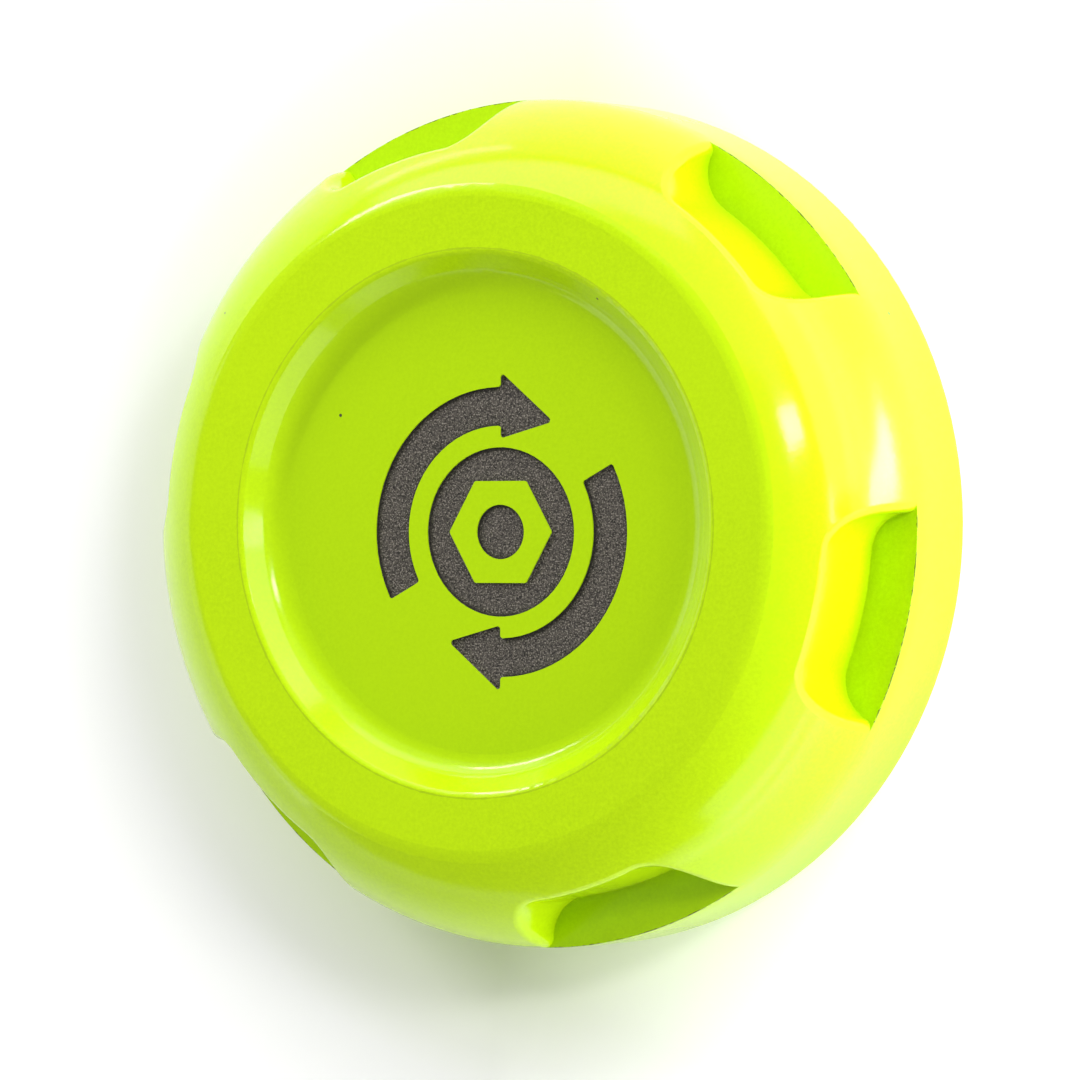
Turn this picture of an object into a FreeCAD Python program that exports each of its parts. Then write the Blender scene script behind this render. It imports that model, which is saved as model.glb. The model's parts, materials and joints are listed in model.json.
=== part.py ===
import FreeCAD, Part
import math
import os
import sys

import Sketcher

# Screw cap for a small fluid reservoir: a turned and milled aluminium shell over a threaded plastic
# insert, with a rubber diaphragm that seals on the neck and follows the level of the fluid.
# Millimetres. +Z is the way the face looks, z = 0 is the rim, and the cap's axis is the Z axis.

SIZES = {
    # outer form of the shell
    "cap_radius": 30.0,
    "cap_height": 17.0,
    "face_radius": 23.2,
    "dome_radius": 11.6,
    "crease_round": 2.0,
    "rim_round": 0.8,
    "bore_chamfer": 0.5,
    # dish in the face
    "dish_rim": 18.84,
    "dish_slope": 50.0,
    "dish_depth": 2.05,
    "dish_lip": 0.45,
    "dish_cove": 2.15,
    # finger pockets round the shoulder
    "pocket_wall": 26.5,
    "pocket_floor": 7.6,
    "pocket_half_width": 7.4,
    "pocket_cutter": 3.0,
    "pocket_lip": 0.7,
    "pocket_lead": 47.0,
    # engraved turning mark in the dish
    "mark_shift_right": 1.2,
    "mark_shift_down": 0.6,
    "mark_depth": 0.25,
    "mark_corner": 0.22,
    "arrow_inner": 7.4,
    "arrow_outer": 10.1,
    "arrow_head_inner": 6.5,
    "arrow_head_outer": 11.2,
    "arrow_head_length": 29.0,
    "arrow_sweep": 118.0,
    "arrow_tail": 28.0,
    "nut_disc": 5.9,
    "nut_outer": 4.1,
    "nut_hole": 1.9,
    # bore and screw holes under the shell
    "bore_radius": 24.0,
    "web_underside": 10.8,
    "screw_circle": 14.0,
    "screw_radius": 1.25,
    "screw_reach": 2.2,
    "screw_head": 2.3,
    "socket_flats": 1.5,
    "socket_depth": 0.8,
    # threaded insert
    "insert_rim": 0.3,
    "insert_disc_underside": 9.3,
    "thread_crest": 20.8,
    "thread_root": 21.8,
    "thread_pitch": 3.0,
    "thread_start": -1.5,
    "thread_travel": 7.0,
    "thread_mouth_half": 0.72,
    "thread_root_half": 0.32,
    "thread_top": 4.7,
    "ring_groove_radius": 22.1,
    "ring_groove_low": 6.2,
    "ring_groove_high": 7.25,
    "mouth_chamfer": 0.5,
    "seat_radius": 5.7,
    "seat_depth": 0.8,
    "vent_circle": 3.0,
    "vent_radius": 0.7,
    "channel_half_width": 0.9,
    "channel_depth": 0.4,
    # vent membrane and the ring that holds it
    "membrane_radius": 5.4,
    "membrane_thick": 0.2,
    "clamp_bore": 4.6,
    "clamp_thick": 0.45,
    # retaining ring
    "wire_circle": 21.45,
    "wire_radius": 0.45,
    "wire_sweep": 332.0,
    # slip ring and diaphragm
    "slip_bore": 16.4,
    "slip_radius": 21.3,
    "slip_underside": 8.7,
    "slip_thick": 0.5,
    "seal_radius": 21.4,
    "seal_bore": 16.2,
    "seal_underside": 7.4,
    "seal_rib": 0.3,
    "seal_rib_inner": 18.6,
    "seal_rib_outer": 20.0,
    "fold_wall": 0.6,
    "fold_slope": 21.0,
    "fold_inner": 13.6,
    "fold_outer": 15.8,
    "fold_top": 8.05,
    "fold_step": 0.93,
    "crown_radius": 12.8,
    "crown_gap": 0.1,
    "crown_underside": 4.85,
    "crown_thick": 0.8,
    "plate_radius": 11.2,
    "plate_thick": 1.0,
    "plate_hub": 3.4,
    "plate_hub_thick": 0.6,
}
POCKETS = 6
SCREWS = 3
VENTS = 4
ARROWS = 2
NUT_SIDES = 6
CHANNELS = 3
PAST_EDGE = 4.0
THREAD_OVERCUT = 0.2

DOME_BASE = (
    "Sizes.cap_height - sqrt(Sizes.dome_radius ^ 2"
    " - (Sizes.face_radius - Sizes.cap_radius + Sizes.dome_radius) ^ 2)"
)
DISH_FLOOR = "Sizes.cap_height - Sizes.dish_depth"
DISH_FOOT = "Sizes.dish_rim - Sizes.dish_depth / tan(Sizes.dish_slope * 1 deg)"

doc = FreeCAD.newDocument("ReservoirCap")
nodes = []


def make_sheet():
    """The driving dimensions, one named cell each."""
    sheet = doc.addObject("Spreadsheet::Sheet", "Sizes")
    for row, (alias, value) in enumerate(SIZES.items(), start=1):
        sheet.set(f"A{row}", alias)
        sheet.set(f"B{row}", str(value))
        sheet.setAlias(f"B{row}", alias)
    doc.recompute()
    return sheet


def number(expression):
    """The value of a sheet expression, as a plain number."""
    result = sheet.evalExpression(str(expression))
    return float(getattr(result, "Value", result))


def new_body(label):
    body = doc.addObject("PartDesign::Body", label)
    body.Label = label
    nodes.append(body)
    return body


def origin_feature(body, role):
    return next(f for f in body.Origin.OriginFeatures if f.Role == role)


def place_sketch(body, name, plane, lift="0", turn="0"):
    """An empty sketch on one of the body's own planes, lifted along the plane's normal and turned in it."""
    sketch = body.newObject("Sketcher::SketchObject", name)
    sketch.AttachmentSupport = [(origin_feature(body, plane), "")]
    sketch.MapMode = "FlatFace"
    sketch.AttachmentOffset = FreeCAD.Placement(
        FreeCAD.Vector(0, 0, number(lift)), FreeCAD.Rotation(FreeCAD.Vector(0, 0, 1), number(turn))
    )
    if lift != "0":
        sketch.setExpression("AttachmentOffset.Base.z", lift)
    if turn != "0":
        sketch.setExpression("AttachmentOffset.Rotation.Angle", turn)
    return sketch


def pin_point(sketch, name, geometry, vertex, across, up):
    """Ties one point of a sketch to the two sheet expressions across and up."""
    for axis, expression in (("X", across), ("Y", up)):
        value = number(expression)
        if abs(value) < 1e-9:
            line = -2 if axis == "X" else -1
            sketch.addConstraint(Sketcher.Constraint("PointOnObject", geometry, vertex, line))
            continue
        index = sketch.addConstraint(
            Sketcher.Constraint("Distance" + axis, -1, 1, geometry, vertex, value)
        )
        label = f"{name}_{axis.lower()}"
        sketch.renameConstraint(index, label)
        sketch.setExpression("Constraints." + label, str(expression))


def add_side(sketch, start, end, bend):
    """One side of an outline. Returns its index and which of its ends is the start."""
    if bend is None:
        return sketch.addGeometry(Part.LineSegment(start, end), False), 1
    radius, side = number(bend[0]), bend[1]
    chord = end - start
    half = chord.Length / 2
    normal = FreeCAD.Vector(-chord.y, chord.x, 0).normalize()
    centre = start + chord * 0.5 + normal * (side * math.sqrt(radius**2 - half**2))
    first, last = (start, end) if side > 0 else (end, start)
    begin = math.atan2(first.y - centre.y, first.x - centre.x)
    finish = math.atan2(last.y - centre.y, last.x - centre.x)
    if finish < begin:
        finish += 2 * math.pi
    circle = Part.Circle(centre, FreeCAD.Vector(0, 0, 1), radius)
    index = sketch.addGeometry(Part.ArcOfCircle(circle, begin, finish), False)
    return index, (1 if side > 0 else 2)


def draw_outline(sketch, corners, prefix="p"):
    """A closed outline. Each corner is (across, up, bend). A bend is None for a straight side to the next
    corner, or (radius, side): an arc whose centre is on the left (1) or the right (-1) of the way."""
    points = [FreeCAD.Vector(number(c[0]), number(c[1]), 0) for c in corners]
    sides = []
    for i, corner in enumerate(corners):
        sides.append(add_side(sketch, points[i], points[(i + 1) % len(points)], corner[2]))
    for i, (index, first) in enumerate(sides):
        following, following_first = sides[(i + 1) % len(sides)]
        sketch.addConstraint(
            Sketcher.Constraint("Coincident", index, 3 - first, following, following_first)
        )
        pin_point(sketch, f"{prefix}{i}", index, first, corners[i][0], corners[i][1])
        if corners[i][2] is not None:
            bend = sketch.addConstraint(
                Sketcher.Constraint("Radius", index, number(corners[i][2][0]))
            )
            sketch.renameConstraint(bend, f"{prefix}{i}_bend")
            sketch.setExpression(f"Constraints.{prefix}{i}_bend", corners[i][2][0])


def draw_circle(sketch, name, across, up, radius):
    centre = FreeCAD.Vector(number(across), number(up), 0)
    circle = Part.Circle(centre, FreeCAD.Vector(0, 0, 1), number(radius))
    index = sketch.addGeometry(circle, False)
    pin_point(sketch, name, index, 3, across, up)
    bend = sketch.addConstraint(Sketcher.Constraint("Radius", index, number(radius)))
    sketch.renameConstraint(bend, name + "_radius")
    sketch.setExpression(f"Constraints.{name}_radius", radius)


def straight(points):
    """Corners of an outline with straight sides only."""
    return [(across, up, None) for across, up in points]


def revolve(body, name, corners, kind="PartDesign::Revolution"):
    """Turns an outline in the XZ plane (across = radius, up = height) all the way round the Z axis."""
    sketch = place_sketch(body, name + "_outline", "XZ_Plane")
    draw_outline(sketch, corners)
    feature = body.newObject(kind, name)
    feature.Profile = sketch
    feature.ReferenceAxis = (sketch, ["V_Axis"])
    feature.Angle = 360
    doc.recompute()
    return feature


def cut_up_or_down(body, name, sketch, length, upward):
    """A pocket from a sketch that is parallel to the rim."""
    before = body.Shape.Volume
    pocket = body.newObject("PartDesign::Pocket", name)
    pocket.Profile = sketch
    pocket.Type = "Length"
    pocket.Length = number(length)
    pocket.setExpression("Length", length)
    pocket.Reversed = upward
    doc.recompute()
    if pocket.Shape.Volume > before - 0.01:
        sys.exit(f"{name} cuts nothing")
    return pocket


def repeat_round(body, name, features, count):
    """A polar pattern of features about the Z axis."""
    pattern = body.newObject("PartDesign::PolarPattern", name)
    pattern.Originals = features
    pattern.Axis = (origin_feature(body, "Z_Axis"), [""])
    pattern.Angle = 360
    pattern.Occurrences = count
    body.Tip = pattern
    doc.recompute()
    return pattern


def round_edges(body, name, wanted, radius):
    """Fillets the edges of the body's present shape that wanted picks."""
    base = body.Tip
    picked = [f"Edge{i}" for i, edge in enumerate(base.Shape.Edges, start=1) if wanted(edge)]
    if not picked:
        sys.exit(f"{name} finds no edge")
    fillet = body.newObject("PartDesign::Fillet", name)
    fillet.Base = (base, picked)
    fillet.Radius = number(radius)
    fillet.setExpression("Radius", radius)
    doc.recompute()
    return fillet


def faces_beside(edge):
    """The faces of the shell, as it is so far, that meet at an edge."""
    shell = next(node for node in nodes if node.Label == "cap_shell")
    return [f for f in shell.Tip.Shape.Faces if any(e.isSame(edge) for e in f.Edges)]


def level_circle(edge, radius, height):
    """Whether an edge is a whole circle about the Z axis, of this radius and at this height."""
    curve = edge.Curve
    return (
        isinstance(curve, Part.Circle)
        and edge.Closed
        and abs(curve.Radius - number(radius)) < 0.01
        and abs(curve.Center.z - number(height)) < 0.01
        and math.hypot(curve.Center.x, curve.Center.y) < 0.01
    )


def make_shell_blank(shell):
    revolve(shell, "Blank", [
        ("0", "Sizes.web_underside", None),
        ("Sizes.bore_radius", "Sizes.web_underside", None),
        ("Sizes.bore_radius", "Sizes.bore_chamfer", None),
        ("Sizes.bore_radius + Sizes.bore_chamfer", "0", None),
        ("Sizes.cap_radius", "0", None),
        ("Sizes.cap_radius", DOME_BASE, ("Sizes.dome_radius", 1)),
        ("Sizes.face_radius", "Sizes.cap_height", None),
        ("Sizes.dish_rim", "Sizes.cap_height", None),
        (DISH_FOOT, DISH_FLOOR, None),
        ("0", DISH_FLOOR, None),
    ])
    round_edges(
        shell, "DishCove",
        lambda e: level_circle(e, DISH_FOOT, DISH_FLOOR), "Sizes.dish_cove",
    )
    round_edges(
        shell, "DishLip",
        lambda e: level_circle(e, "Sizes.dish_rim", "Sizes.cap_height"), "Sizes.dish_lip",
    )
    round_edges(
        shell, "FaceCrease",
        lambda e: level_circle(e, "Sizes.face_radius", "Sizes.cap_height"), "Sizes.crease_round",
    )
    round_edges(
        shell, "RimRound", lambda e: level_circle(e, "Sizes.cap_radius", "0"), "Sizes.rim_round",
    )


def pocket_corners():
    """Plan of one finger pocket, as an end mill leaves it: a wall concentric with the cap, a corner of the
    cutter's radius at each end, and end walls square to the rim that run out past it."""
    cutter_circle = "(Sizes.pocket_wall + Sizes.pocket_cutter)"
    offset = "(Sizes.pocket_half_width - Sizes.pocket_cutter)"
    reach = f"sqrt({cutter_circle} ^ 2 - {offset} ^ 2)"
    share = f"Sizes.pocket_wall / {cutter_circle}"
    outside = f"Sizes.cap_radius + {PAST_EDGE}"
    wall = ("Sizes.pocket_wall", 1)
    corner = ("Sizes.pocket_cutter", -1)
    return [
        (f"{share} * {reach}", f"-{share} * {offset}", wall),
        (f"{share} * {reach}", f"{share} * {offset}", corner),
        (reach, "Sizes.pocket_half_width", None),
        (outside, "Sizes.pocket_half_width", None),
        (outside, "-Sizes.pocket_half_width", None),
        (reach, "-Sizes.pocket_half_width", corner),
    ]


def on_pocket_lip(edge):
    """Edges where a pocket's upright walls come out through the dome or the crease."""
    if edge.BoundBox.ZMax < number("Sizes.pocket_floor") + 0.05:
        return False
    if edge.BoundBox.ZLength < 0.02 and edge.BoundBox.ZMax < number("Sizes.cap_height") - 5:
        return False
    faces = faces_beside(edge)
    upright = [f for f in faces if is_pocket_wall(f)]
    return len(upright) == 1 and len(faces) == 2


def is_pocket_wall(face):
    """An upright face of a finger pocket, known by where its middle is."""
    u0, u1, v0, v1 = face.ParameterRange
    normal = face.normalAt((u0 + u1) / 2, (v0 + v1) / 2)
    middle = face.CenterOfMass
    radius = math.hypot(middle.x, middle.y)
    return abs(normal.z) < 1e-4 and radius > number("Sizes.pocket_wall") - 0.6 and middle.z > number(
        "Sizes.pocket_floor"
    )


def mill_pockets(shell):
    plan = place_sketch(shell, "PocketPlan", "XY_Plane", "Sizes.pocket_floor", "Sizes.pocket_lead")
    draw_outline(plan, pocket_corners())
    first = cut_up_or_down(shell, "FingerPocket", plan, "Sizes.cap_height", True)
    repeat_round(shell, "FingerPockets", [first], POCKETS)
    round_edges(shell, "PocketLips", on_pocket_lip, "Sizes.pocket_lip")


def polar(radius, angle, shift_right="0", shift_up="0"):
    return f"{radius} * cos({angle}) + {shift_right}", f"{radius} * sin({angle}) + {shift_up}"


def arrow_corners(turn):
    """One curved arrow of the turning mark, pointing clockwise, which is the way that closes the cap."""
    tail = f"({turn} + Sizes.arrow_tail) * 1 deg"
    neck = f"({turn} + Sizes.arrow_tail - Sizes.arrow_sweep) * 1 deg"
    tip = f"({turn} + Sizes.arrow_tail - Sizes.arrow_sweep - Sizes.arrow_head_length) * 1 deg"
    middle = "(Sizes.arrow_inner + Sizes.arrow_outer) / 2"
    inner = ("Sizes.arrow_inner", 1)
    outer = ("Sizes.arrow_outer", -1)
    return [
        (*polar("Sizes.arrow_outer", tail), outer),
        (*polar("Sizes.arrow_outer", neck), None),
        (*polar("Sizes.arrow_head_outer", neck), None),
        (*polar(middle, tip), None),
        (*polar("Sizes.arrow_head_inner", neck), None),
        (*polar("Sizes.arrow_inner", neck), inner),
        (*polar("Sizes.arrow_inner", tail), None),
    ]


def mark_sketch(shell, name):
    sketch = place_sketch(shell, name, "XY_Plane", DISH_FLOOR)
    sketch.setExpression("AttachmentOffset.Base.x", "Sizes.mark_shift_right")
    sketch.setExpression("AttachmentOffset.Base.y", "-Sizes.mark_shift_down")
    return sketch


def is_mark_corner(edge):
    """Upright corners of the engraving. A seam of a round wall has only one face beside it, and is left."""
    box = edge.BoundBox
    upright = abs(box.ZLength - number("Sizes.mark_depth")) < 0.01 and box.XLength + box.YLength < 0.01
    return upright and box.ZMax > number("Sizes.web_underside") + 1 and len(faces_beside(edge)) == 2


def engrave_mark(shell):
    arrows = mark_sketch(shell, "ArrowPlan")
    for i in range(ARROWS):
        draw_outline(arrows, arrow_corners(f"{i * 360 / ARROWS}"), f"arrow{i}_")
    cut_up_or_down(shell, "Arrows", arrows, "Sizes.mark_depth", False)
    nut = mark_sketch(shell, "NutPlan")
    draw_circle(nut, "disc", "0", "0", "Sizes.nut_disc")
    draw_circle(nut, "hole", "0", "0", "Sizes.nut_hole")
    turns = [f"{i * 360 / NUT_SIDES} deg" for i in range(NUT_SIDES)]
    draw_outline(nut, straight([polar("Sizes.nut_outer", turn) for turn in turns]), "nut")
    cut_up_or_down(shell, "Nut", nut, "Sizes.mark_depth", False)
    round_edges(shell, "MarkCorners", is_mark_corner, "Sizes.mark_corner")


def drill_screw_holes(shell):
    plan = place_sketch(shell, "ScrewHolePlan", "XY_Plane", "Sizes.web_underside")
    draw_circle(plan, "hole", "Sizes.screw_circle", "0", "Sizes.screw_radius")
    first = cut_up_or_down(shell, "ScrewHole", plan, "Sizes.screw_reach", True)
    repeat_round(shell, "ScrewHoles", [first], SCREWS)


def make_shell():
    shell = new_body("cap_shell")
    make_shell_blank(shell)
    mill_pockets(shell)
    engrave_mark(shell)
    drill_screw_holes(shell)


def insert_blank(insert):
    groove_low = "Sizes.ring_groove_low"
    groove_high = "Sizes.ring_groove_high"
    seat_floor = "Sizes.web_underside - Sizes.seat_depth"
    revolve(insert, "InsertBlank", straight([
        ("0", "Sizes.insert_disc_underside"),
        ("Sizes.thread_root", "Sizes.insert_disc_underside"),
        ("Sizes.thread_root", groove_high),
        ("Sizes.ring_groove_radius", groove_high),
        ("Sizes.ring_groove_radius", groove_low),
        ("Sizes.thread_root", groove_low),
        ("Sizes.thread_root", "Sizes.thread_top"),
        ("Sizes.thread_crest", "Sizes.thread_top"),
        ("Sizes.thread_crest", "Sizes.insert_rim + Sizes.mouth_chamfer"),
        ("Sizes.thread_crest + Sizes.mouth_chamfer", "Sizes.insert_rim"),
        ("Sizes.bore_radius", "Sizes.insert_rim"),
        ("Sizes.bore_radius", "Sizes.web_underside"),
        ("Sizes.seat_radius", "Sizes.web_underside"),
        ("Sizes.seat_radius", seat_floor),
        ("0", seat_floor),
    ]))


def cut_screw_seats(insert):
    """Countersunk clearance holes, each turned about its own screw's axis."""
    section = place_sketch(insert, "ScrewSeatSection", "XZ_Plane")
    section.setExpression("AttachmentOffset.Base.x", "Sizes.screw_circle")
    low = "Sizes.insert_disc_underside"
    draw_outline(section, straight([
        ("0", low),
        ("Sizes.screw_head", low),
        ("Sizes.screw_radius", f"{low} + Sizes.screw_head - Sizes.screw_radius"),
        ("Sizes.screw_radius", "Sizes.web_underside"),
        ("0", "Sizes.web_underside"),
    ]))
    seat = insert.newObject("PartDesign::Groove", "ScrewSeat")
    seat.Profile = section
    seat.ReferenceAxis = (section, ["V_Axis"])
    seat.Angle = 360
    doc.recompute()
    repeat_round(insert, "ScrewSeats", [seat], SCREWS)


def cut_vents(insert):
    """Vent holes under the membrane, and the channels that lead from it over the disc and down the skirt."""
    plan = place_sketch(insert, "VentPlan", "XY_Plane", "Sizes.insert_disc_underside")
    draw_circle(plan, "vent", "Sizes.vent_circle", "0", "Sizes.vent_radius")
    thickness = "Sizes.web_underside - Sizes.insert_disc_underside"
    hole = cut_up_or_down(insert, "Vent", plan, thickness, True)
    repeat_round(insert, "Vents", [hole], VENTS)
    top = place_sketch(insert, "ChannelPlan", "XY_Plane", "Sizes.web_underside", "60 deg")
    half = "Sizes.channel_half_width"
    outside = f"Sizes.bore_radius + {PAST_EDGE}"
    inside = "Sizes.seat_radius - Sizes.channel_half_width"
    draw_outline(top, straight([
        (inside, f"-{half}"), (outside, f"-{half}"), (outside, half), (inside, half),
    ]))
    over = cut_up_or_down(insert, "DiscChannel", top, "Sizes.channel_depth", False)
    side = place_sketch(insert, "SkirtChannelPlan", "XY_Plane", "0", "60 deg")
    wall = "Sizes.bore_radius - Sizes.channel_depth"
    draw_outline(side, straight([
        (wall, f"-{half}"), (outside, f"-{half}"), (outside, half), (wall, half),
    ]))
    down = cut_up_or_down(insert, "SkirtChannel", side, "Sizes.cap_height", True)
    repeat_round(insert, "Channels", [over, down], CHANNELS)


def wind_thread(insert):
    """The female thread: a groove of a trapezium's section, wound up the bore from below the mouth and out
    into the clear space above it."""
    profile = place_sketch(insert, "ThreadSection", "XZ_Plane")
    inside = f"Sizes.thread_crest - {THREAD_OVERCUT}"
    flare = "(Sizes.thread_mouth_half - Sizes.thread_root_half) / (Sizes.thread_root - Sizes.thread_crest)"
    half = f"(Sizes.thread_mouth_half + {THREAD_OVERCUT} * {flare})"
    draw_outline(profile, straight([
        (inside, f"Sizes.thread_start - {half}"),
        ("Sizes.thread_root", "Sizes.thread_start - Sizes.thread_root_half"),
        ("Sizes.thread_root", "Sizes.thread_start + Sizes.thread_root_half"),
        (inside, f"Sizes.thread_start + {half}"),
    ]))
    before = insert.Shape.Volume
    thread = insert.newObject("PartDesign::SubtractiveHelix", "Thread")
    thread.Profile = profile
    thread.ReferenceAxis = (profile, ["V_Axis"])
    thread.Mode = "pitch-height-angle"
    thread.setExpression("Pitch", "Sizes.thread_pitch")
    thread.setExpression("Height", "Sizes.thread_travel")
    doc.recompute()
    if thread.Shape.Volume > before - 1:
        sys.exit("the thread cuts nothing")


def make_insert():
    insert = new_body("thread_insert")
    insert_blank(insert)
    cut_screw_seats(insert)
    cut_vents(insert)
    wind_thread(insert)


def make_screw(index):
    """A countersunk screw with a hexagon socket, driven up from the underside of the insert."""
    screw = new_body(f"insert_screw_{index + 1}")
    length = "Sizes.web_underside - Sizes.insert_disc_underside + Sizes.screw_reach"
    revolve(screw, f"ScrewBlank{index}", straight([
        ("0", "0"),
        ("Sizes.screw_head", "0"),
        ("Sizes.screw_radius", "Sizes.screw_head - Sizes.screw_radius"),
        ("Sizes.screw_radius", length),
        ("0", length),
    ]))
    plan = place_sketch(screw, f"SocketPlan{index}", "XY_Plane")
    corner = "Sizes.socket_flats / 2 / cos(30 deg)"
    turns = [f"{i * 60} deg" for i in range(6)]
    draw_outline(plan, straight([polar(f"({corner})", turn) for turn in turns]))
    cut_up_or_down(screw, f"Socket{index}", plan, "Sizes.socket_depth", True)
    angle = math.radians(index * 360 / SCREWS)
    reach = number("Sizes.screw_circle")
    screw.Placement.Base = FreeCAD.Vector(
        reach * math.cos(angle), reach * math.sin(angle), number("Sizes.insert_disc_underside")
    )


def make_disc(label, radius, low, thickness, bore=None):
    """A plain washer or disc from low up to low + thickness."""
    body = new_body(label)
    inner = bore or "0"
    revolve(body, label + "_turned", straight([
        (inner, low), (radius, low), (radius, f"{low} + {thickness}"), (inner, f"{low} + {thickness}"),
    ]))
    return body


def make_vent_parts():
    seat = "Sizes.web_underside - Sizes.seat_depth"
    make_disc("vent_membrane", "Sizes.membrane_radius", seat, "Sizes.membrane_thick")
    make_disc(
        "membrane_clamp_ring", "Sizes.membrane_radius", f"{seat} + Sizes.membrane_thick",
        "Sizes.clamp_thick", "Sizes.clamp_bore",
    )


def make_retaining_ring():
    ring = doc.addObject("Part::Torus", "retaining_ring")
    ring.Label = "retaining_ring"
    ring.setExpression("Radius1", "Sizes.wire_circle")
    ring.setExpression("Radius2", "Sizes.wire_radius")
    ring.setExpression("Angle3", "Sizes.wire_sweep")
    middle = "(Sizes.ring_groove_low + Sizes.ring_groove_high) / 2"
    ring.setExpression("Placement.Base.z", middle)
    doc.recompute()
    nodes.append(ring)


def make_diaphragm_rim():
    rim = new_body("diaphragm_rim")
    rib = "Sizes.seal_rib"
    low = "Sizes.seal_underside"
    lowest = f"{low} - {rib}"
    corners = [("Sizes.seal_bore", low)]
    for middle in ("Sizes.seal_rib_inner", "Sizes.seal_rib_outer"):
        corners.append((f"{middle} - {rib}", low))
        corners.append((middle, lowest))
        corners.append((f"{middle} + {rib}", low))
    corners.append(("Sizes.seal_radius", low))
    corners.append(("Sizes.seal_radius", "Sizes.slip_underside"))
    corners.append(("Sizes.seal_bore", "Sizes.slip_underside"))
    revolve(rim, "RimTurned", straight(corners))


def fold_line():
    """Middle line of the concertina wall at rest, from the rim down to the crown."""
    radii = ["Sizes.seal_bore", "Sizes.fold_inner", "Sizes.fold_outer", "Sizes.crown_radius + Sizes.crown_gap"]
    return [(r, f"Sizes.fold_top - {i} * Sizes.fold_step") for i, r in enumerate(radii)]


def make_diaphragm_bellows():
    """The concertina: the wall stands off its middle line along the radius at each fold, and up and down at
    its two ends."""
    bellows = new_body("diaphragm_bellows")
    up = "Sizes.fold_wall / 2 / cos(Sizes.fold_slope * 1 deg)"
    out = "Sizes.fold_wall / 2 / sin(Sizes.fold_slope * 1 deg)"
    (rim, rim_height), *folds, (crown, crown_height) = fold_line()
    inner_folds = [(f"{radius} - {out}", height) for radius, height in folds]
    outer_folds = [(f"{radius} + {out}", height) for radius, height in reversed(folds)]
    revolve(bellows, "BellowsTurned", straight([
        (rim, f"{rim_height} + {up}"),
        *inner_folds,
        (crown, f"{crown_height} + {up}"),
        (crown, f"{crown_height} - {up}"),
        *outer_folds,
        (rim, f"{rim_height} - {up}"),
    ]))


def make_crown():
    make_disc("diaphragm_crown", "Sizes.crown_radius", "Sizes.crown_underside", "Sizes.crown_thick")
    plate = new_body("crown_plate")
    low = "Sizes.crown_underside + Sizes.crown_thick"
    high = f"{low} + Sizes.plate_thick"
    revolve(plate, "PlateTurned", straight([
        ("0", low),
        ("Sizes.plate_radius", low),
        ("Sizes.plate_radius", high),
        ("Sizes.plate_hub", high),
        ("Sizes.plate_hub", f"{high} + Sizes.plate_hub_thick"),
        ("0", f"{high} + Sizes.plate_hub_thick"),
    ]))


def check_and_write():
    """Stops on any failed feature or bad solid, then writes one STEP file per node."""
    failed = [o.Name for o in doc.Objects if {"Invalid", "Error"} & set(o.State)]
    if failed:
        sys.exit("failed features: " + ", ".join(failed))
    os.makedirs("parts", exist_ok=True)
    for node in nodes:
        shape = node.Shape
        if shape.isNull() or not shape.isValid() or len(shape.Solids) != 1:
            sys.exit(f"{node.Label} is not one sound solid")
        shape.exportStep(os.path.join("parts", node.Label + ".step"))
        print(f"{node.Label}: {shape.Volume:.2f} mm3, {len(shape.Faces)} faces")


sheet = make_sheet()
make_shell()
make_insert()
for screw_index in range(SCREWS):
    make_screw(screw_index)
make_vent_parts()
make_retaining_ring()
make_disc(
    "slip_ring", "Sizes.slip_radius", "Sizes.slip_underside", "Sizes.slip_thick", "Sizes.slip_bore",
)
make_diaphragm_rim()
make_diaphragm_bellows()
make_crown()
doc.recompute()
check_and_write()
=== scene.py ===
"""Looks of the reservoir cap: lime powder coat over milled metal, a dark blasted turning mark, and the
plastic, rubber and steel pieces inside, on a plain white table under soft studio light."""

import json
import math

import bmesh
import bpy
from mathutils import Matrix, Vector


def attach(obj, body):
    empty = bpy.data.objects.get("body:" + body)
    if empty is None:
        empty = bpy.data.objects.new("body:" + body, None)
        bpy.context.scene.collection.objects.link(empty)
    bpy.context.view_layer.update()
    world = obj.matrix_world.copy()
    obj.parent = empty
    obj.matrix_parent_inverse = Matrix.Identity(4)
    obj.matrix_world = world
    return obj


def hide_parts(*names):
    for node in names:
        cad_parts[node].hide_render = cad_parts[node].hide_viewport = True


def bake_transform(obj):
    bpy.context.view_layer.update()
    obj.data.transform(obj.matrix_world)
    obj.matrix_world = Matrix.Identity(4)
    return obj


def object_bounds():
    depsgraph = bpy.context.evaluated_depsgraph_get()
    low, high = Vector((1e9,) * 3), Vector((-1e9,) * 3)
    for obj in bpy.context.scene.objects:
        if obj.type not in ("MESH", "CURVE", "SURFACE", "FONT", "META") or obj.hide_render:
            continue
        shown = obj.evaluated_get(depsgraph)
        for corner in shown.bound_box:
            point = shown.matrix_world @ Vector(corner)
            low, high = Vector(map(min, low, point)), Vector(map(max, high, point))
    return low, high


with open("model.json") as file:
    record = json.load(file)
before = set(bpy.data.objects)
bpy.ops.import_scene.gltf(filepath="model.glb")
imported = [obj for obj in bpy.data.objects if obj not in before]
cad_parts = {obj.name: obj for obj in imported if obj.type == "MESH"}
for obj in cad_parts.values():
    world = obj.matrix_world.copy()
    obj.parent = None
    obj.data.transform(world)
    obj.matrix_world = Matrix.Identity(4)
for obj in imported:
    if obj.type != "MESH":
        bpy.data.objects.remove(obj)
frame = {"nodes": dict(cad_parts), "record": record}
cad_low, cad_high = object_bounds()

MM = 0.001
WHOLE_TURN = math.tau

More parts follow.
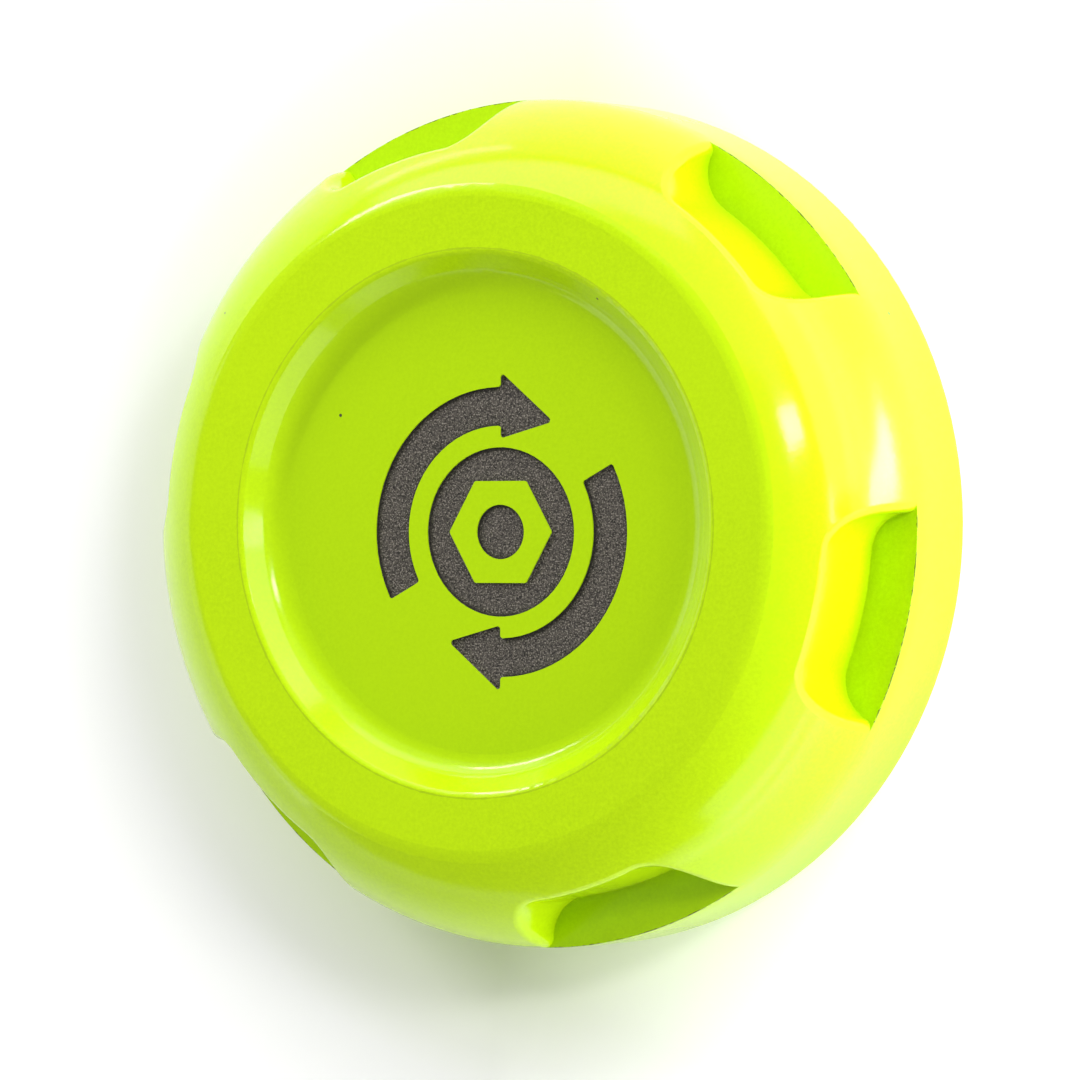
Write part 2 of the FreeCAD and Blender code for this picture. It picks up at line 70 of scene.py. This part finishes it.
# ---------------------------------------------------------------- sizes that the finishes follow
CAP_RADIUS = 30.0 * MM
POCKET_FLOOR = 7.6 * MM
POCKET_COUNT = 6
POCKET_LEAD = math.radians(47.0)
POCKET_HALF_TURN = math.asin(7.4 * MM / CAP_RADIUS)
LIP_RADIUS = 19.12 * MM
DISH_FLOOR = cad_high.z - 2.05 * MM
MARK_CENTRE = (1.2 * MM, -0.6 * MM)
MARK_REACH = 12.0 * MM
NUT_OUTLINES = (1.9 * MM, 5.9 * MM)
ARROW_OUTLINES = (7.4 * MM, 10.1 * MM)
ARROW_COUNT = 2
ARROW_HEAD_MIDDLE = math.radians(75.5)
ARROW_HEAD_TURN = math.radians(31.0)

# ---------------------------------------------------------------- camera
# The camera leans off the cap's axis towards +X, and +Y is up in its view.
CAMERA_LEAN = math.radians(29.67)
CAMERA_DISTANCE = 472.3 * MM
CAMERA_LENS = 228.06
CAMERA_SENSOR = 36.0
CAMERA_AIM_ASIDE = Vector((5.56, -1.16, 0.0)) * MM


def make_camera():
    aim = Vector((0, 0, cad_high.z)) + CAMERA_AIM_ASIDE
    back = Vector((math.sin(CAMERA_LEAN), 0, math.cos(CAMERA_LEAN)))
    up = Vector((0, 1, 0))
    data = bpy.data.cameras.new("studio_camera")
    data.lens = CAMERA_LENS
    data.sensor_width = CAMERA_SENSOR
    camera = bpy.data.objects.new("studio_camera", data)
    turn = Matrix((up.cross(back), up, back)).transposed().to_4x4()
    camera.matrix_world = Matrix.Translation(aim + back * CAMERA_DISTANCE) @ turn
    bpy.context.scene.collection.objects.link(camera)
    bpy.context.scene.camera = camera


# ---------------------------------------------------------------- shader helpers
class Paint:
    """A node material that is built up one node at a time."""

    def __init__(self, name):
        self.material = bpy.data.materials.new(name)
        self.material.use_nodes = True
        self.tree = self.material.node_tree
        self.tree.nodes.clear()
        self.output = self.tree.nodes.new("ShaderNodeOutputMaterial")
        self.shader = self.tree.nodes.new("ShaderNodeBsdfPrincipled")
        self.join(self.shader.outputs[0], self.output.inputs["Surface"])
        self.place = self.tree.nodes.new("ShaderNodeTexCoord").outputs["Object"]

    def join(self, source, target):
        self.tree.links.new(source, target)

    def feed(self, name, source):
        self.join(source, self.shader.inputs[name])

    def set(self, **values):
        """Uniform values, straight on the shader's own sockets."""
        for name, value in values.items():
            self.shader.inputs[name.replace("_", " ")].default_value = value

    def split(self):
        """The place on the piece as x, y and z, in metres."""
        node = self.tree.nodes.new("ShaderNodeSeparateXYZ")
        self.join(self.place, node.inputs[0])
        return node.outputs

    def noise(self, scale, detail=2.0, roughness=0.5, distortion=0.0):
        node = self.tree.nodes.new("ShaderNodeTexNoise")
        node.inputs["Scale"].default_value = scale
        node.inputs["Detail"].default_value = detail
        node.inputs["Roughness"].default_value = roughness
        node.inputs["Distortion"].default_value = distortion
        self.join(self.place, node.inputs["Vector"])
        return node.outputs["Fac"]

    def specks(self, scale, size, share):
        """Small sparse dots: the middles of a share of the grains, picked by each grain's random colour."""
        grains = self.tree.nodes.new("ShaderNodeTexVoronoi")
        grains.inputs["Scale"].default_value = scale
        self.join(self.place, grains.inputs["Vector"])
        pick = self.tree.nodes.new("ShaderNodeSeparateColor")
        self.join(grains.outputs["Color"], pick.inputs[0])
        dot = self.below(grains.outputs["Distance"], size)
        return self.both(dot, self.below(pick.outputs[0], share))

    def math(self, operation, a, b=0.0, c=0.0):
        node = self.tree.nodes.new("ShaderNodeMath")
        node.operation = operation
        for socket, value in zip(node.inputs, (a, b, c)):
            if isinstance(value, (int, float)):
                socket.default_value = value
            else:
                self.join(value, socket)
        return node.outputs[0]

    def both(self, a, b):
        return self.math("MULTIPLY", a, b)

    def below(self, value, limit):
        return self.math("LESS_THAN", value, limit)

    def above(self, value, limit):
        return self.math("GREATER_THAN", value, limit)

    def gap(self, value, mark):
        """How far a value is from a mark, on either side."""
        return self.math("ABSOLUTE", self.math("SUBTRACT", value, mark))

    def radius(self, x, y):
        return self.math("SQRT", self.math("ADD", self.both(x, x), self.both(y, y)))

    def remap(self, value, from_low, from_high, to_low=0.0, to_high=1.0):
        node = self.tree.nodes.new("ShaderNodeMapRange")
        for name, number in (
            ("From Min", from_low), ("From Max", from_high), ("To Min", to_low), ("To Max", to_high),
        ):
            node.inputs[name].default_value = number
        self.join(value, node.inputs["Value"])
        return node.outputs["Result"]

    def mix(self, share, a, b):
        node = self.tree.nodes.new("ShaderNodeMix")
        node.data_type = "RGBA"
        for socket, value in ((node.inputs[0], share), (node.inputs[6], a), (node.inputs[7], b)):
            if isinstance(value, tuple):
                socket.default_value = (*value, 1.0)
            else:
                self.join(value, socket)
        return node.outputs[2]

    def bump(self, height, depth, strength, after=None):
        node = self.tree.nodes.new("ShaderNodeBump")
        node.inputs["Strength"].default_value = strength
        node.inputs["Distance"].default_value = depth
        self.join(height, node.inputs["Height"])
        if after is not None:
            self.join(after, node.inputs["Normal"])
        return node.outputs["Normal"]


# ---------------------------------------------------------------- the shell's coat and its blasted mark
LIME = (0.437, 0.670, 0.0015)
LIME_DEEP = (0.405, 0.635, 0.0010)
LIME_PALE = (0.480, 0.720, 0.0025)
# Painted shade: the darker lime drawn in the dish and on the pockets' floors.
LIME_RECESS_SHADE = (0.34, 0.58, 0.0)
RECESS_SHADE_STRENGTH = 0.4
# Painted shade: a thin darker line drawn along the dish's lip.
LIP_SHADE_COLOUR = (0.22, 0.33, 0.012)
LIP_SHADE_STRENGTH = 0.4
WORN_EDGE = (0.15, 0.19, 0.01)
SPECK = (0.06, 0.07, 0.03)
BLASTED_DARK = (0.014, 0.012, 0.010)
BLASTED_MID = (0.088, 0.077, 0.064)
BLASTED_LIGHT = (0.28, 0.25, 0.21)
COAT_IOR = 1.34
COAT_ROUGHNESS = 0.13
BLASTED_EXTRA_ROUGHNESS = 0.45

# Where each patch of the coat lies. A pair holds the two ends of a range, and the mark's depths, the lip's
# height and the heights and depth of the painted recess shade are measured from the dish's floor.
MARK_DEPTHS = (0.12 * MM, 1.0 * MM)
# How far the painted shade along the mark's outlines reaches, and how dark it gets.
OUTLINE_SHADE_WIDTHS = (0.08 * MM, 0.30 * MM)
OUTLINE_SHADE_STRENGTH = 0.75
LIP_WIDTHS = (0.02 * MM, 0.10 * MM)
LIP_HEIGHT = 1.0 * MM
RIM_WIDTHS = (0.03 * MM, 0.14 * MM)
RIM_HALF_HEIGHT = 0.09 * MM
# Heights and depth of the painted shade in the dish, and how much painted shade the pockets' floors get.
RECESS_SHADE_HEIGHTS = (0.1 * MM, 0.9 * MM)
RECESS_SHADE_DEPTH = 0.5 * MM
FLOOR_HALF_HEIGHT = 0.12 * MM
FLOOR_EDGE = 0.02 * MM
POCKET_FLOOR_SHADE_SHARE = 0.5


def from_mark(paint, x, y):
    """The place as x and y from the middle of the turning mark."""
    return paint.math("SUBTRACT", x, MARK_CENTRE[0]), paint.math("SUBTRACT", y, MARK_CENTRE[1])


def mark_share(paint, x, y, z):
    """1 on the engraved turning mark's floor, 0 on the coat round it."""
    low = paint.below(z, DISH_FLOOR - MARK_DEPTHS[0])
    high = paint.above(z, DISH_FLOOR - MARK_DEPTHS[1])
    near = paint.below(paint.radius(*from_mark(paint, x, y)), MARK_REACH)
    return paint.both(paint.both(low, high), near)


def near_outline(paint, radius, outlines):
    """How far a radius is from the nearer of two round outlines."""
    return paint.math("MINIMUM", *(paint.gap(radius, outline) for outline in outlines))


def painted_outline_shade(paint, x, y):
    """Painted shade along the mark's round outlines: the engraving's corners are drawn dark."""
    across, upright = from_mark(paint, x, y)
    aside = paint.radius(across, upright)
    turn = paint.math("SUBTRACT", paint.math("ARCTAN2", upright, across), ARROW_HEAD_MIDDLE)
    wave = paint.math("COSINE", paint.math("MULTIPLY", turn, ARROW_COUNT))
    on_head = paint.above(wave, math.cos(ARROW_HEAD_TURN))
    arrow = near_outline(paint, aside, ARROW_OUTLINES)
    arrow = paint.math("ADD", arrow, paint.math("MULTIPLY", on_head, MM))
    nearest = paint.math("MINIMUM", arrow, near_outline(paint, aside, NUT_OUTLINES))
    return paint.remap(nearest, *OUTLINE_SHADE_WIDTHS, OUTLINE_SHADE_STRENGTH, 0.0)


def painted_lip_shade(paint, x, y, z):
    """1 on the dish's sharp lip, where a thin line of painted shade darkens the coat."""
    width = paint.remap(paint.noise(1100.0, detail=3.0, roughness=0.7), 0.3, 0.7, *LIP_WIDTHS)
    near = paint.below(paint.gap(paint.radius(x, y), LIP_RADIUS), width)
    return paint.both(near, paint.above(z, DISH_FLOOR + LIP_HEIGHT))


def pocket_rim_share(paint, x, y, z):
    """1 along the sharp outer rim of each finger pocket's floor, broken up where the coat still holds."""
    turn = paint.math("SUBTRACT", paint.math("ARCTAN2", y, x), POCKET_LEAD)
    wave = paint.math("COSINE", paint.math("MULTIPLY", turn, POCKET_COUNT))
    inside = paint.above(wave, math.cos(POCKET_COUNT * POCKET_HALF_TURN))
    width = paint.remap(paint.noise(1500.0, detail=3.0, roughness=0.7), 0.35, 0.65, *RIM_WIDTHS)
    near = paint.below(paint.math("SUBTRACT", CAP_RADIUS, paint.radius(x, y)), width)
    level = paint.below(paint.gap(z, POCKET_FLOOR), RIM_HALF_HEIGHT)
    return paint.both(paint.both(inside, near), level)


def painted_recess_shade(paint, x, y, z):
    """Painted shade in the recesses: the coat is drawn darker in the dish and on the pockets' floors, where
    shade falls.
    """
    radius = paint.radius(x, y)
    low, high = (DISH_FLOOR + height for height in RECESS_SHADE_HEIGHTS)
    in_dish = paint.both(paint.below(radius, LIP_RADIUS), paint.remap(z, low, high, 1.0, 0.0))
    in_dish = paint.both(in_dish, paint.above(z, DISH_FLOOR - RECESS_SHADE_DEPTH))
    level = paint.below(paint.gap(z, POCKET_FLOOR), FLOOR_HALF_HEIGHT)
    on_floor = paint.both(level, paint.below(radius, CAP_RADIUS - FLOOR_EDGE))
    return paint.math("MAXIMUM", in_dish, paint.math("MULTIPLY", on_floor, POCKET_FLOOR_SHADE_SHARE))


def lime_powder_coat():
    paint = Paint("lime_powder_coat")
    paint.set(IOR=COAT_IOR)
    x, y, z = paint.split()
    mark = mark_share(paint, x, y, z)

    clouds = paint.remap(paint.noise(55.0, detail=3.0, roughness=0.55), 0.35, 0.65)
    powder = paint.remap(paint.noise(3600.0, detail=3.0, roughness=0.8), 0.34, 0.66)
    coat = paint.mix(clouds, LIME, LIME_DEEP)
    coat = paint.mix(powder, coat, LIME_PALE)
    # Painted shade in the dish and on the pockets' floors.
    coat = paint.mix(paint.math("MULTIPLY", painted_recess_shade(paint, x, y, z), RECESS_SHADE_STRENGTH), coat, LIME_RECESS_SHADE)
    coat = paint.mix(paint.specks(420.0, size=0.050, share=0.070), coat, SPECK)
    # Painted shade along the dish's lip.
    coat = paint.mix(paint.math("MULTIPLY", painted_lip_shade(paint, x, y, z), LIP_SHADE_STRENGTH), coat, LIP_SHADE_COLOUR)
    coat = paint.mix(pocket_rim_share(paint, x, y, z), coat, WORN_EDGE)

    grit = paint.noise(5600.0, detail=3.0, roughness=0.75)
    sparkle = paint.remap(paint.noise(8500.0, detail=1.0), 0.54, 0.70)
    blasted = paint.mix(paint.remap(grit, 0.40, 0.58), BLASTED_DARK, BLASTED_MID)
    blasted = paint.mix(sparkle, blasted, BLASTED_LIGHT)
    # Painted shade along the engraving's outlines.
    blasted = paint.mix(painted_outline_shade(paint, x, y), blasted, BLASTED_DARK)
    paint.feed("Base Color", paint.mix(mark, coat, blasted))

    peel = paint.bump(paint.noise(650.0, detail=1.0, roughness=0.4), 0.030 * MM, 0.35)
    pits = paint.bump(paint.noise(3200.0, detail=1.0), 0.006 * MM, 0.6, peel)
    paint.feed("Normal", paint.bump(paint.both(grit, mark), 0.10 * MM, 0.9, pits))
    paint.feed("Roughness", paint.math("MULTIPLY_ADD", mark, BLASTED_EXTRA_ROUGHNESS, COAT_ROUGHNESS))
    return paint.material


# ---------------------------------------------------------------- the other finishes
NYLON = (0.011, 0.011, 0.012)
NYLON_FIBRE = (0.030, 0.030, 0.031)
EPDM = (0.012, 0.012, 0.013)
EPDM_BLOOM = (0.026, 0.026, 0.028)
ZINC = (0.62, 0.62, 0.60)
ZINC_STAIN = (0.42, 0.42, 0.43)
SPRING = (0.44, 0.43, 0.42)
SPRING_STAIN = (0.28, 0.27, 0.26)
PTFE = (0.80, 0.80, 0.77)
PTFE_SHADE = (0.72, 0.72, 0.70)
ACETAL = (0.20, 0.21, 0.22)
ACETAL_SHADE = (0.16, 0.17, 0.18)
FELT = (0.84, 0.84, 0.81)
FELT_PORE = (0.52, 0.52, 0.50)


def black_nylon():
    """Glass-filled nylon out of a spark-eroded mould: fine even grain, and pale fibres near the skin."""
    paint = Paint("black_nylon")
    paint.set(IOR=1.52)
    fibre = paint.remap(paint.noise(1500.0, detail=5.0, roughness=0.8, distortion=1.5), 0.56, 0.70)
    paint.feed("Base Color", paint.mix(fibre, NYLON, NYLON_FIBRE))
    paint.feed("Normal", paint.bump(paint.noise(5200.0), 0.02 * MM, 0.6))
    paint.feed("Roughness", paint.remap(paint.noise(260.0), 0.3, 0.7, 0.38, 0.52))
    return paint.material


def black_epdm():
    """Moulded rubber: a soft sheen, cloudy bloom on the high places and a faint moulded grain."""
    paint = Paint("black_epdm")
    paint.set(IOR=1.45, Sheen_Weight=0.08, Sheen_Roughness=0.5)
    bloom = paint.remap(paint.noise(300.0, detail=4.0, roughness=0.7), 0.40, 0.80)
    paint.feed("Base Color", paint.mix(bloom, EPDM, EPDM_BLOOM))
    paint.feed("Normal", paint.bump(paint.noise(3400.0, roughness=0.6), 0.015 * MM, 0.5))
    paint.feed("Roughness", paint.remap(bloom, 0.0, 1.0, 0.46, 0.66))
    return paint.material


def turned_metal(name, colour, stained, roughness, scale):
    """Plated or drawn metal with fine marks and a little staining."""
    paint = Paint(name)
    paint.set(Metallic=1.0)
    stain = paint.remap(paint.noise(420.0, detail=4.0, roughness=0.6), 0.4, 0.7)
    marks = paint.noise(scale, detail=3.0, roughness=0.7, distortion=0.4)
    paint.feed("Base Color", paint.mix(stain, colour, stained))
    paint.feed("Normal", paint.bump(marks, 0.006 * MM, 0.5))
    paint.feed("Roughness", paint.remap(stain, 0.0, 1.0, roughness, roughness + 0.18))
    return paint.material


def moulded_plastic(name, colour, shade, roughness, scale):
    """Acetal or PTFE: even colour with slight flow marks, and the fine texture of the tool or the knife."""
    paint = Paint(name)
    flow = paint.remap(paint.noise(240.0, detail=3.0, distortion=0.8), 0.35, 0.65)
    paint.feed("Base Color", paint.mix(flow, colour, shade))
    paint.feed("Normal", paint.bump(paint.noise(scale), 0.008 * MM, 0.4))
    paint.feed("Roughness", paint.remap(flow, 0.0, 1.0, roughness, roughness + 0.08))
    return paint.material


def vent_felt():
    """The porous membrane: white fibres pressed flat, with darker pores."""
    paint = Paint("vent_felt")
    paint.set(Roughness=0.9)
    fibres = paint.remap(paint.noise(2600.0, detail=4.0, roughness=0.8, distortion=2.0), 0.42, 0.60)
    paint.feed("Base Color", paint.mix(fibres, FELT_PORE, FELT))
    paint.feed("Normal", paint.bump(fibres, 0.03 * MM, 0.7))
    return paint.material


def dress_nodes():
    """Gives every CAD node the finish that its record names, and returns the finishes by name."""
    finishes = {
        "lime_powder_coat": lime_powder_coat(),
        "black_nylon": black_nylon(),
        "zinc_steel": turned_metal("zinc_steel", ZINC, ZINC_STAIN, roughness=0.22, scale=2400.0),
        "spring_steel": turned_metal("spring_steel", SPRING, SPRING_STAIN, roughness=0.26, scale=1800.0),
        "white_ptfe": moulded_plastic("white_ptfe", PTFE, PTFE_SHADE, roughness=0.36, scale=2200.0),
        "black_epdm": black_epdm(),
        "grey_acetal": moulded_plastic("grey_acetal", ACETAL, ACETAL_SHADE, roughness=0.34, scale=2600.0),
        "vent_felt": vent_felt(),
    }
    for piece in frame["record"]["subparts"]:
        mesh = frame["nodes"][piece["node"]].data
        mesh.materials.clear()
        mesh.materials.append(finishes[piece["material_slot"]])
    return finishes


# ---------------------------------------------------------------- shapes
TURN_STEPS = 144
SAME_PLACE = 0.001 * MM
CORNER_ANGLE = math.radians(25)


def spin_round(form, steps):
    """Spins everything in the form once round the Z axis."""
    bmesh.ops.spin(
        form, geom=form.verts[:] + form.edges[:], cent=(0, 0, 0), axis=(0, 0, 1),
        angle=WHOLE_TURN, steps=steps, use_merge=True,
    )


def add_piece(name, form, material):
    mesh = bpy.data.meshes.new(name)
    form.to_mesh(mesh)
    form.free()
    mesh.materials.append(material)
    piece = bpy.data.objects.new(name, mesh)
    bpy.context.scene.collection.objects.link(piece)
    return piece


def turned(name, outline, material, closed, edge_round=0.0):
    """A form of revolution: spins an outline of (radius, height) points in millimetres round the Z axis."""
    form = bmesh.new()
    points = [form.verts.new((radius * MM, 0, height * MM)) for radius, height in outline]
    ring = points + points[:1] if closed else points
    for first, second in zip(ring, ring[1:]):
        form.edges.new((first, second))
    spin_round(form, TURN_STEPS)
    bmesh.ops.remove_doubles(form, verts=form.verts[:], dist=SAME_PLACE)
    bmesh.ops.recalc_face_normals(form, faces=form.faces[:])
    if edge_round:
        round_corners(form, edge_round)
    for face in form.faces:
        face.smooth = True
    return add_piece(name, form, material)


def round_corners(form, edge_round):
    """Rounds the corners that run round the Z axis, which are the level edges with an angle."""
    corners = [
        edge for edge in form.edges
        if len(edge.link_faces) == 2 and edge.calc_face_angle(0) > CORNER_ANGLE
        and abs(edge.verts[0].co.z - edge.verts[1].co.z) < SAME_PLACE
    ]
    bmesh.ops.bevel(
        form, geom=corners, offset=edge_round * MM, offset_type="OFFSET", segments=3,
        affect="EDGES", profile=0.5, material=-1, clamp_overlap=True,
    )


# ---------------------------------------------------------------- rubber pieces
WALL_THICKNESS = 0.6 * MM


def make_seal_rim(finish):
    """The diaphragm's clamped rim, with two sealing ribs that press on the neck."""
    rim = turned("seal_rim", [
        (16.2, 8.70), (16.2, 7.40), (18.25, 7.40), (18.45, 7.12), (18.75, 7.12), (18.95, 7.40),
        (19.65, 7.40), (19.85, 7.12), (20.15, 7.12), (20.35, 7.40), (21.4, 7.40), (21.4, 8.70),
    ], finish, closed=True, edge_round=0.12)
    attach(rim, "seal")
    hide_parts("diaphragm_rim")


def make_bellows(finish):
    """The folded wall between the rim and the crown."""
    wall = turned("bellows_wall", [
        (16.25, 8.05), (15.6, 8.00), (14.2, 7.45), (13.62, 7.12), (14.2, 6.80), (15.2, 6.48), (15.78, 6.19),
        (15.2, 5.90), (14.2, 5.52), (13.3, 5.28), (12.75, 5.24),
    ], finish, closed=False)
    shell = wall.modifiers.new("wall", "SOLIDIFY")
    shell.thickness = WALL_THICKNESS
    shell.offset = 0
    smooth = wall.modifiers.new("smooth", "SUBSURF")
    smooth.levels = smooth.render_levels = 1
    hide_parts("diaphragm_bellows")
    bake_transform(wall)


def make_crown(finish):
    """The diaphragm's flat middle, with a thickened edge and two moulded rings underneath."""
    crown = turned("bellows_crown", [
        (0.0, 5.65), (12.8, 5.65), (12.8, 4.85), (11.9, 4.85), (11.6, 5.05), (8.6, 5.05), (8.4, 4.90),
        (7.9, 4.90), (7.7, 5.05), (2.4, 5.05), (2.1, 4.85), (0.0, 4.85),
    ], finish, closed=False, edge_round=0.10)
    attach(crown, "crown")
    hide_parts("diaphragm_crown")


# ---------------------------------------------------------------- table and backdrop
WHITE = (1.0, 1.0, 1.0, 1.0)
TABLE_HALF = 3.0
TABLE_GAP = 0.02 * MM
TABLE_WHITE = (0.90, 0.90, 0.90)
# Painted bounce light: the lime tint drawn on the table close to the cap.
TABLE_PAINTED_BOUNCE = (0.83, 0.875, 0.70)
TABLE_TINT = (30.0 * MM, 42.0 * MM)
TABLE_SHADE = (39.0 * MM, 58.0 * MM)
TABLE_GLOW_AROUND = 0.27
TABLE_GLOW_WAY = math.radians(-6.0)
TABLE_GLOW = (-4.0 * MM, 130.0 * MM)
TABLE_GLOW_RIGHT = 2.8
BACKDROP_RADIUS = 2.9
BACKDROP_HEIGHT = 0.5
BACKDROP_STEPS = 96
BACKDROP_GREY = (0.8, 0.8, 0.8, 1.0)
BACKDROP_GLOW = 0.7


def white_table():
    """White, with painted light: an emission that is dim close to the cap, a painted shadow round it, and
    brightest far out towards +X, and a lime tint close to the cap that is painted bounce light from the
    coat.
    """
    paint = Paint("white_table")
    paint.set(Roughness=0.35, Emission_Color=WHITE)
    x, y, _ = paint.split()
    radius = paint.radius(x, y)
    paint.feed("Base Color", paint.mix(paint.remap(radius, *TABLE_TINT), TABLE_PAINTED_BOUNCE, TABLE_WHITE))
    # Painted light: the table glows most towards +X and least close to the cap.
    along = paint.math("MULTIPLY", x, math.cos(TABLE_GLOW_WAY))
    along = paint.math("MULTIPLY_ADD", y, math.sin(TABLE_GLOW_WAY), along)
    towards = paint.remap(along, *TABLE_GLOW, 0.0, TABLE_GLOW_RIGHT)
    around = paint.remap(radius, *TABLE_SHADE, 0.0, TABLE_GLOW_AROUND)
    paint.feed("Emission Strength", paint.math("ADD", towards, around))
    return paint.material


def make_table():
    form = bmesh.new()
    lowered = Matrix.Translation((0, 0, -TABLE_GAP))
    bmesh.ops.create_grid(form, x_segments=1, y_segments=1, size=TABLE_HALF, matrix=lowered)
    table = add_piece("table", form, white_table())


def make_backdrop():
    """A pale sweep all round the table, far off, that closes the view above the table's edge."""
    form = bmesh.new()
    foot = form.verts.new((BACKDROP_RADIUS, 0, -TABLE_GAP))
    head = form.verts.new((BACKDROP_RADIUS, 0, BACKDROP_HEIGHT))
    form.edges.new((foot, head))
    spin_round(form, BACKDROP_STEPS)
    paint = Paint("pale_backdrop")
    paint.set(Base_Color=BACKDROP_GREY, Roughness=0.9)
    paint.set(Emission_Color=WHITE, Emission_Strength=BACKDROP_GLOW)
    backdrop = add_piece("backdrop", form, paint.material)


# ---------------------------------------------------------------- light
# Each soft light faces the cap. Its azimuth, where 0 is +X and 90 is +Y, and its elevation are in degrees,
# its distance, width and height in metres, and the last number is its radiance.
SOFTBOXES = (
    ("top_box", 108, 24, 0.60, (0.66, 0.22), 2.6),
    ("top_scrim", 92, 38, 0.62, (1.10, 0.50), 0.78),
    ("crease_strip", 136, 34, 0.60, (0.22, 0.05), 30.0),
    ("low_strip", 126, 3, 0.60, (0.24, 0.04), 5.0),
    ("wall_strip", 2, 22, 0.58, (0.10, 0.020), 20.0),
    ("side_box", 25, 41, 0.60, (0.08, 0.12), 30.0),
    ("left_box", 190, 20, 0.60, (0.50, 0.28), 1.6),
    ("front_box", -46, 14, 0.60, (0.56, 0.24), 2.3),
    ("right_box", 36, 14, 0.60, (0.66, 0.28), 3.4),
)
PANEL_PLACE = Vector((92, 10, 2)) * MM
PANEL_SIZE = (0.095, 0.012)
PANEL_RADIANCE = 48.0
ROOM_LIGHT = 0.32


def place_light(name, place, way, size, radiance):
    """A flat rectangular light whose back is towards way, so that it shines the other way."""
    data = bpy.data.lights.new(name, "AREA")
    data.shape = "RECTANGLE"
    data.size, data.size_y = size
    data.energy = radiance * math.pi * size[0] * size[1]
    light = bpy.data.objects.new(name, data)
    light.matrix_world = Matrix.Translation(place) @ way.to_track_quat("Z", "Y").to_matrix().to_4x4()
    bpy.context.scene.collection.objects.link(light)


def make_studio():
    world = bpy.data.worlds.new("studio")
    bpy.context.scene.world = world
    world.use_nodes = True
    room = world.node_tree.nodes["Background"].inputs
    room["Color"].default_value = WHITE
    room["Strength"].default_value = ROOM_LIGHT
    for name, azimuth, elevation, distance, size, radiance in SOFTBOXES:
        turn, lift = math.radians(azimuth), math.radians(elevation)
        way = Vector((math.cos(lift) * math.cos(turn), math.cos(lift) * math.sin(turn), math.sin(lift)))
        place_light(name, way * distance + Vector((0, 0, cad_high.z)), way, size, radiance)
    # The low panel lights a strip of the table on the cap's +X side, and that strip lights the dome.
    place_light("low_panel", PANEL_PLACE, Vector((0, 0, 1)), PANEL_SIZE, PANEL_RADIANCE)
    bpy.context.scene.view_settings.view_transform = "Standard"


make_camera()
finishes = dress_nodes()
make_seal_rim(finishes["black_epdm"])
make_bellows(finishes["black_epdm"])
make_crown(finishes["black_epdm"])
make_table()
make_backdrop()
make_studio()
